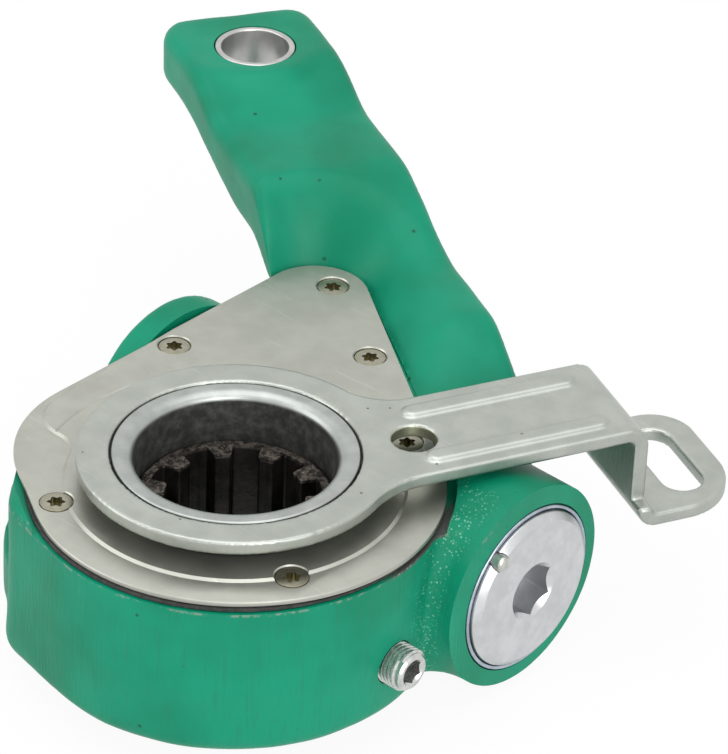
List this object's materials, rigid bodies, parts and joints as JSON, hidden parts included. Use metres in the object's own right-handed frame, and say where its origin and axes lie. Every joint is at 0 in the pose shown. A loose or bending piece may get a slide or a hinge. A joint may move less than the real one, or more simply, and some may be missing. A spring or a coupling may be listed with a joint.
{
  "type": "brake slack adjuster",
  "caption": "Automatic brake slack adjuster: a cranked lever on a round worm-gear housing with a splined bore, a screwed cover and a ring-shaped control arm.",
  "frame": {"origin": "on the splined bore's axis, at the lower face of the housing's round head", "axes": "+Z along the splined bore, towards the cover and control arm; +X along the worm, towards the cap; +Y from the bore towards the worm"},
  "size_m": [0.1873, 0.1783, 0.0701],
  "materials": {
    "green_paint": "semi-gloss green paint",
    "zinc_plate": "satin zinc plating",
    "bush_steel": "turned",
    "inner_steel": "ground",
    "greased_steel": "dark, greased",
    "spring_steel": "oiled",
    "seal_rubber": "matt",
    "gasket_fibre": "fibre sheet"
  },
  "bodies": {
    "housing": {"housing": "green_paint", "clevis_bush": "bush_steel", "cover_gasket": "gasket_fibre", "cover_plate": "zinc_plate", "cover_screw_1": "zinc_plate", "cover_screw_2": "zinc_plate", "cover_screw_3": "zinc_plate", "cover_screw_4": "zinc_plate", "cover_screw_5": "zinc_plate", "cover_screw_6": "zinc_plate", "wheel_lower_seal": "seal_rubber", "rack_spring": "spring_steel", "worm_bearing": "bush_steel", "spring_seat": "inner_steel", "pressure_spring": "spring_steel", "worm_rear_seal": "seal_rubber", "worm_cap": "zinc_plate", "cap_seal": "zinc_plate", "cap_lock_pin": "zinc_plate", "grease_plug": "zinc_plate"},
    "control": {"control_arm": "zinc_plate", "control_hub": "zinc_plate", "control_disc": "inner_steel", "hub_seal": "seal_rubber"},
    "wheel": {"worm_wheel": "greased_steel"},
    "worm": {"worm_shaft": "inner_steel", "clutch_ring": "inner_steel"},
    "pinion": {"drive_pinion": "greased_steel", "clutch_spring": "spring_steel"},
    "rack": {"rack": "inner_steel"}
  },
  "joints": [
    {"name": "control_swing", "type": "hinge", "parent": "housing", "child": "control", "pos_m": [0, 0, 0.0452], "axis": [0, 0, 1], "range_deg": [-22, 6]},
    {"name": "rack_slide", "type": "slide", "parent": "housing", "child": "rack", "axis": [0, 1, 0], "range_m": [-0.0036, 0.0128]},
    {"name": "pinion_spin", "type": "hinge", "parent": "housing", "child": "pinion", "pos_m": [0, 0.0391, 0.017], "axis": [1, 0, 0], "range_deg": [-61, 17]},
    {"name": "wheel_spin", "type": "hinge", "parent": "housing", "child": "wheel", "pos_m": [0, 0, 0.017], "axis": [0, 0, 1], "continuous": true},
    {"name": "worm_spin", "type": "hinge", "parent": "housing", "child": "worm", "pos_m": [0, 0.0391, 0.017], "axis": [1, 0, 0], "continuous": true}
  ],
  "couplings": [
    {"joint": "rack_slide", "follows": "control_swing", "m_per_rad": -0.033},
    {"joint": "pinion_spin", "follows": "control_swing", "ratio": 2.75},
    {"joint": "worm_spin", "follows": "wheel_spin", "ratio": 22}
  ]
}
